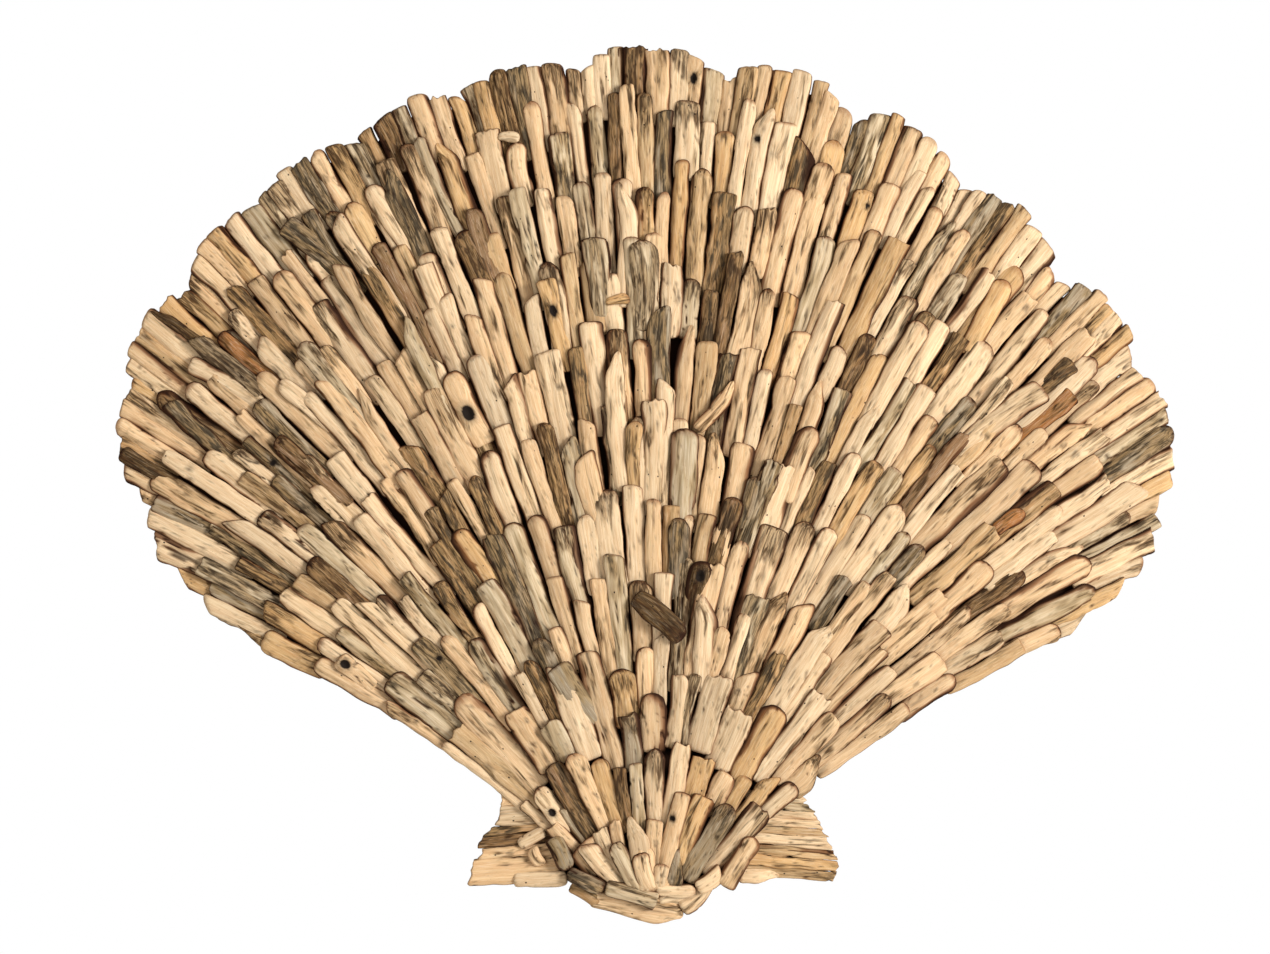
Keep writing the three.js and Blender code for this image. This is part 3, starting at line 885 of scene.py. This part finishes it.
def driftwood():
    """Weathered wood: fibres along the grain, grey patches, dark streaks and worm holes, with painted shade
    on the sides, in cracks and in holes.
    """
    wood = Finish("driftwood", 0.18)
    grain = wood.attribute("grain")
    hollow_shade, knot, edge = wood.parts(wood.attribute("marks"))
    grey_share, streak_share, worm_share = wood.parts(wood.attribute("weather"))

    def stretched_noise(across, along, detail, rough, distortion=0.0):
        return wood.noise(wood.scaled(grain, (1 / across, 1 / along, 1 / across)), detail, rough, distortion)

    fibres = stretched_noise(1.3, 34, 4.0, 0.6, 0.3)
    fine = stretched_noise(0.5, 14, 3.0, 0.6)
    patches = stretched_noise(6, 42, 2.0, 0.6, 0.5)
    blotches = stretched_noise(3.4, 19, 2.0, 0.6, 0.6)
    streak_lines = stretched_noise(1.3, 22, 3.0, 0.66, 0.9)
    specks = stretched_noise(0.75, 3.2, 1.0, 0.5)

    reach = wood.calc("ADD", patches, wood.times(streak_share, 0.26))
    streak_zone = wood.ramp(reach, 0.58, 0.76)
    streaks = wood.times(wood.ramp(streak_lines, 0.40, 0.64), streak_zone)
    charred = wood.times(wood.ramp(blotches, 0.45, 0.63), streak_zone)
    burnt = wood.mixed(rgba("#45290E"), rgba("#3B352A"), wood.ramp(grey_share, 0.2, 0.7))
    grey = wood.times(wood.ramp(patches, 0.4, 0.58), grey_share)
    dark_lines = wood.calc("SUBTRACT", 1.0, wood.ramp(fine, 0.28, 0.42))
    # Worm holes are only bumped into the surface; their near-black dots are painted shade inside them.
    holes = wood.new("TexVoronoi", {"Vector": wood.scaled(grain, (1 / 6, 1 / 8, 1 / 6)), "Scale": 1.0})
    worm = wood.calc("SUBTRACT", 1.0, wood.ramp(holes.outputs["Distance"], 0.06, 0.11))
    worm = wood.times(worm, wood.times(wood.ramp(patches, 0.46, 0.5), worm_share))

    colour = wood.attribute("tone", "Color")
    colour = wood.mixed(colour, rgba("#BD8B53"), wood.times(wood.ramp(fibres, 0.28, 0.72), 0.42), "MULTIPLY")
    for layer, share, strength in (
        ("#F8E9CE", wood.ramp(fine, 0.45, 0.75), 0.3),
        ("#8A5C2E", dark_lines, 0.3),
        ("#A28860", grey, 0.8),
        ("#94703F", streak_zone, 0.4),
    ):
        colour = wood.mixed(colour, rgba(layer), wood.times(share, strength))
    colour = wood.mixed(colour, burnt, wood.times(charred, 0.85))
    for layer, share, strength in (
        ("#211508", streaks, 0.8),
        ("#56391C", wood.ramp(specks, 0.70, 0.78), 0.4),
        # painted shade in the cracks and pits
        ("#2A1707", hollow_shade, 0.85),
    ):
        colour = wood.mixed(colour, rgba(layer), wood.times(share, strength))
    # Painted shade from the dark sides: warm brown where it starts, near black deep in the gaps between the
    # sticks.
    colour = wood.mixed(colour, rgba("#AE6A24"), wood.times(wood.ramp(edge, 0.0, 0.5), 0.65), "MULTIPLY")
    colour = wood.mixed(colour, rgba("#2A1000"), wood.times(edge, 0.98))
    # Knots are darker in their own colour; the near black inside knot holes is painted shade.
    colour = wood.mixed(colour, rgba("#1C130C"), wood.times(knot, 0.92))
    wood.feed(wood.mixed(colour, rgba("#20160E"), worm), wood.surface["Base Color"])

    rough = wood.new("MapRange", {"Value": fibres, "To Min": 0.62, "To Max": 0.92})
    wood.feed(rough.outputs["Result"], wood.surface["Roughness"])
    height = wood.calc("ADD", wood.times(fibres, 0.6), wood.times(fine, 0.3))
    height = wood.calc("SUBTRACT", height, wood.times(worm, 0.5))
    height = wood.calc("SUBTRACT", height, wood.times(streaks, 0.2))
    wood.bump(height, 0.7, 0.9)
    return wood.material


def board_wood():
    """Plain sawn board with fine straight grain. Its front is painted near black, a painted shade for the
    deep gaps between the sticks.
    """
    wood = Finish("board_wood", 0.3)
    wood.feed(0.8, wood.surface["Roughness"])
    place = wood.new("NewGeometry", {}).outputs
    fibres = wood.noise(wood.scaled(place["Position"], (9.0, 260.0, 150.0)), 4.0, distortion=0.6)
    colours = wood.new("ValToRGB", {"Fac": fibres})
    for stop, at, colour in zip(colours.color_ramp.elements, (0.3, 0.7), ("#A57B4B", "#CFA876")):
        stop.position = at
        stop.color = rgba(colour)
    # Painted shade: the front, seen only down the gaps between the sticks, is dark.
    front = wood.new("Math", {0: wood.parts(place["Normal"])["Y"], 1: -0.5}, operation="LESS_THAN").outputs[0]
    front_shade = wood.mixed(colours.outputs["Color"], rgba("#3A1E0A"), front)
    wood.feed(front_shade, wood.surface["Base Color"])
    wood.bump(fibres, 0.3, 0.3)
    return wood.material


# Single sticks seen in the photograph: tail and tip in its pixels, width, tone, kind of tip, and its hole's
# share of the way up the stick and radius
NAMED_STICKS = [
    ((486, 446), (450, 372), 20, "tan", "round", (0.45, 4.4)),
    ((655, 505), (655, 397), 20, "cream", "broken", None),
    ((624, 492), (612, 352), 16, "cream", "pointed", None),
    ((692, 622), (703, 560), 19, "black", "round", (0.75, 3.2)),
    ((568, 372), (545, 279), 14, "golden", "blunt", (0.65, 3.0)),
    ((286, 389), (219, 333), 13, "russet", "round", None),
    ((208, 348), (152, 308), 9, "black", "pointed", None),
    ((180, 486), (120, 452), 12, "black", "round", None),
    ((262, 394), (193, 338), 14, "grey", "slanted", None),
    ((252, 480), (168, 402), 15, "grey", "slanted", None),
    ((350, 507), (276, 439), 16, "umber", "round", None),
    ((1033, 397), (1074, 363), 14, "umber", "blunt", None),
    ((990, 460), (1074, 394), 14, "russet", "blunt", None),
    ((956, 454), (1043, 389), 20, "cream", "blunt", None),
    ((702, 692), (709, 594), 19, "cream", "pointed", None),
    ((732, 682), (760, 592), 17, "silver", "broken", None),
    ((497, 290), (472, 208), 16, "umber", "round", None),
    ((682, 525), (686, 428), 22, "silver", "round", None),
    ((782, 502), (811, 426), 20, "tan", "round", None),
    ((500, 594), (456, 530), 18, "golden", "round", None),
    ((596, 724), (556, 665), 21, "grey", "blunt", None),
    ((676, 600), (679, 517), 16, "grey", "round", None),
    ((712, 570), (735, 497), 15, "umber", "round", None),
    ((738, 562), (775, 458), 16, "silver", "broken", None),
    ((604, 538), (584, 454), 19, "tan", "slanted", None),
    ((636, 496), (635, 421), 12, "golden", "round", None),
    ((966, 352), (1006, 280), 17, "golden", "round", None),
    ((864, 428), (922, 322), 17, "cream", "round", None),
    ((378, 440), (301, 343), 15, "silver", "round", None),
    ((459, 440), (402, 318), 12, "silver", "pointed", None),
    ((226, 538), (152, 502), 15, "grey", "blunt", None),
    ((262, 406), (189, 363), 15, "cream", "blunt", None),
    ((334, 429), (280, 381), 13, "cream", "round", None),
    ((646, 332), (642, 240), 21, "silver", "round", None),
    ((602, 318), (594, 237), 20, "silver", "blunt", None),
    ((624, 308), (626, 183), 15, "cream", "pointed", None),
    ((801, 240), (826, 162), 18, "tan", "round", None),
    ((362, 296), (284, 224), 17, "grey", "blunt", None),
    ((429, 268), (384, 170), 16, "grey", "pointed", None),
    ((415, 262), (369, 185), 16, "cream", "round", None),
    ((410, 322), (335, 219), 16, "cream", "slanted", None),
    ((454, 345), (421, 262), 17, "cream", "broken", None),
    ((374, 690), (338, 658), 16, "tan", "blunt", (0.8, 3.0)),
    ((651, 891), (640, 851), 15, "cream", "round", None),
    ((640, 891), (614, 842), 15, "silver", "round", None),
    ((624, 888), (587, 843), 18, "cream", "slanted", None),
]

NAMED_SEED = 7800
NAMED_TAIL_RISE = 2
NAMED_TIP_RISE = 3.5

# Pieces laid across the others: left end and right end, width, tone, kind of tip, rise above the others
CROSSING_STICKS = [
    ((634, 596), (684, 638), 20, "black", "round", 5),
    ((696, 430), (737, 384), 13, "tan", "pointed", 4),
    ((498, 137), (520, 138), 10, "cream", "round", 4),
    ((606, 303), (630, 298), 9, "golden", "round", 4),
    ((994, 531), (1024, 511), 14, "russet", "round", 2),
]
CROSSING_SEED = 7700
CROSSING_TILT = 2
CROSSING_THICKNESS = 9.0


def from_photo(place):
    return np.array([(place[0] - PHOTO_ORIGIN[0]) * PIXEL, (PHOTO_ORIGIN[1] - place[1]) * PIXEL])


def nearest_stick(sticks, place):
    return min(sticks, key=lambda stick: math.dist(stick["photo_at"], place))


def named_look(seed, ends, width, tone_name, tip):
    tail, tip_at = (from_photo(end) for end in ends)
    look = look_of(seed, width, math.dist(tail, tip_at), tone_name, tip)
    look.update(tail_at=tail, tip_at=tip_at, roll=0.0, tail_share=0.85, dark_tip=0.0, knots=[])
    return look


def laid_over(sticks):
    """The named and the crossing sticks, laid a little higher than the rest, each with the nearest stick."""
    for number, (tail, tip, width, tone_name, kind, hole) in enumerate(NAMED_STICKS):
        near = nearest_stick(sticks, mix(np.array(tip), np.array(tail), SHOWN_MIDDLE))
        look = named_look(NAMED_SEED + number, (tail, tip), width, tone_name, kind)
        tops = {"tail_top": near["tail_top"] + NAMED_TAIL_RISE, "tip_top": near["tip_top"] + NAMED_TIP_RISE}
        look.update(tops, thickness=near["thickness"])
        if hole:
            look["knots"] = [(0.0, hole[0] * look["length"], hole[1], True)]
        yield near, look
    for number, (left, right, width, tone_name, kind, rise) in enumerate(CROSSING_STICKS):
        near = nearest_stick(sticks, mix(np.array(left), np.array(right), 0.5))
        look = named_look(CROSSING_SEED + number, (left, right), width, tone_name, kind)
        top = near["tip_top"] + rise
        look.update(tail_top=top - CROSSING_TILT, tip_top=top, thickness=CROSSING_THICKNESS, tail_share=0.7)
        yield near, look


def mark_sticks(sticks):
    """Give the sticks nearest to the marked places the tones that they have in the photograph."""
    places = np.array([stick["photo_at"] for stick in sticks])
    for marks, tones in (
        (DARK_MARKS, DARK_TONES),
        (PALE_MARKS, ("cream",)),
        (GOLDEN_MARKS, ("golden",)),
    ):
        for number, mark in enumerate(marks):
            nearest = np.argmin(np.hypot(*(places - np.array(mark)).T))
            retone(sticks[nearest], tones[number % len(tones)])


def build_panel():
    wood = driftwood()
    fields = {f"rib_{rib + 1:02d}": fan_sticks(rib_field(rib), rib + 1) for rib in range(len(LOBE_REACH))}
    fields["hinge_fan"] = fan_sticks(HINGE_FIELD, 40)
    all_sticks = [stick for sticks in fields.values() for stick in sticks]
    mark_sticks(all_sticks)
    over = list(laid_over(all_sticks))
    for name, sticks in fields.items():
        sticks += [look for near, look in over if any(near is stick for stick in sticks)]
        piece = make_piece(f"{name}_driftwood", sticks, "driftwood_sticks", wood)
        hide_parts(f"{name}_sticks")
    for rows, unit, base, slot_name in (
        (HINGE_STICKS, HINGE_REACH_SIDE, ROOT_HEIGHT, "hinge_driftwood"),
        (EAR_STICKS, 1.0, EAR_TOP, "ear_driftwood"),
    ):
        for row in rows:
            piece = make_piece(f"{row[0]}_wood", [loose_stick(row, unit, base)], slot_name, wood)
            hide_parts(row[0])
    for side, (widths, _) in EAR_STRIPS.items():
        top = EAR_TOP
        for number, width in enumerate(widths, 1):
            name = f"{side}_ear_strip_{number}"
            piece = make_piece(f"{name}_wood", [ear_strip(side, number, top)], "ear_driftwood", wood)
            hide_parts(name)
            top -= width
    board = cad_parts["backing_board"]
    board.material_slots[0].material = board_wood()


CAMERA_SENSOR = 36
CAMERA_LENS = 120
FRAMED_DEPTH = 0.6  # share of the panel's depth at which the photograph's frame is filled

# Lamps: place, the point they shine on, side in metres, power
LAMPS = {
    "key_right": ((2.2, -1.9, 0.5), (0, 0, 0), 1.0, 97),
    "fill_left": ((-2.4, -2.2, 0.9), (0, 0, 0), 1.8, 23),
    "front_low": ((0.5, -2.6, -1.2), (0, 0, -0.1), 1.2, 16),
    "back_soft": ((1.9, 2.2, 0.9), (0, 0, 0), 1.5, 25),
}
SEEN_COLOUR = (1, 1, 1, 1)
SOFT_COLOUR = (1, 0.92, 0.82, 1)
SOFT_STRENGTH = 0.30
FLOOR_PLACE = (0, -0.4, -0.42)
FLOOR_SIZE = (3.0, 2.2, 1)
FLOOR_COLOUR = (0.82, 0.81, 0.79, 1)
FLOOR_ROUGHNESS = 0.9


def set_camera():
    """Square on to the panel, with the photograph's frame on its front."""
    data = bpy.data.cameras.new("camera")
    data.sensor_width = CAMERA_SENSOR
    data.lens = CAMERA_LENS
    distance = PHOTO_WIDTH * PIXEL * MM * data.lens / data.sensor_width
    middle_x = (PHOTO_WIDTH / 2 - PHOTO_ORIGIN[0]) * PIXEL * MM
    middle_z = (PHOTO_ORIGIN[1] - PHOTO_HEIGHT / 2) * PIXEL * MM
    front = -FRAMED_DEPTH * (cad_box[1][1] - cad_box[0][1])
    camera = bpy.data.objects.new("camera", data)
    camera.location = (middle_x, front - distance, middle_z)
    camera.rotation_euler = (math.pi / 2, 0, 0)
    bpy.context.scene.collection.objects.link(camera)
    bpy.context.scene.camera = camera


def set_lamp(name, place, target, side, power):
    data = bpy.data.lights.new(name, "AREA")
    data.shape = "SQUARE"
    data.size = side
    data.energy = power
    lamp = bpy.data.objects.new(name, data)
    lamp.location = place
    lamp.rotation_euler = (Vector(target) - Vector(place)).to_track_quat("-Z", "Y").to_euler()
    bpy.context.scene.collection.objects.link(lamp)


def set_world():
    """White where the camera sees nothing else, and a soft warm light on everything."""
    world = bpy.data.worlds.new("studio")
    bpy.context.scene.world = world
    world.use_nodes = True
    nodes, links = world.node_tree.nodes, world.node_tree.links
    nodes.clear()
    output = nodes.new("ShaderNodeOutputWorld")
    ray = nodes.new("ShaderNodeLightPath")
    seen, soft = (nodes.new("ShaderNodeBackground") for _ in range(2))
    either = nodes.new("ShaderNodeMixShader")
    seen.inputs["Color"].default_value = SEEN_COLOUR
    soft.inputs["Color"].default_value = SOFT_COLOUR
    soft.inputs["Strength"].default_value = SOFT_STRENGTH
    links.new(ray.outputs["Is Camera Ray"], either.inputs[0])
    links.new(soft.outputs[0], either.inputs[1])
    links.new(seen.outputs[0], either.inputs[2])
    links.new(either.outputs[0], output.inputs[0])


def set_floor():
    bpy.ops.mesh.primitive_plane_add(size=1, location=FLOOR_PLACE)
    floor = bpy.context.object
    floor.name = "floor"
    floor.scale = FLOOR_SIZE
    material = bpy.data.materials.new("floor")
    material.use_nodes = True
    shader = material.node_tree.nodes["Principled BSDF"]
    shader.inputs["Base Color"].default_value = FLOOR_COLOUR
    shader.inputs["Roughness"].default_value = FLOOR_ROUGHNESS
    floor.data.materials.append(material)
    floor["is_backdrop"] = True


build_panel()
set_camera()
set_world()
for lamp_name, lamp_settings in LAMPS.items():
    set_lamp(lamp_name, *lamp_settings)
set_floor()
bpy.context.scene.view_settings.view_transform = "Standard"

visual_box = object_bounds()
boxes = {"cad": cad_box, "visual": visual_box}
{k: [[float(v) for v in corner] for corner in b] for k, b in boxes.items()}
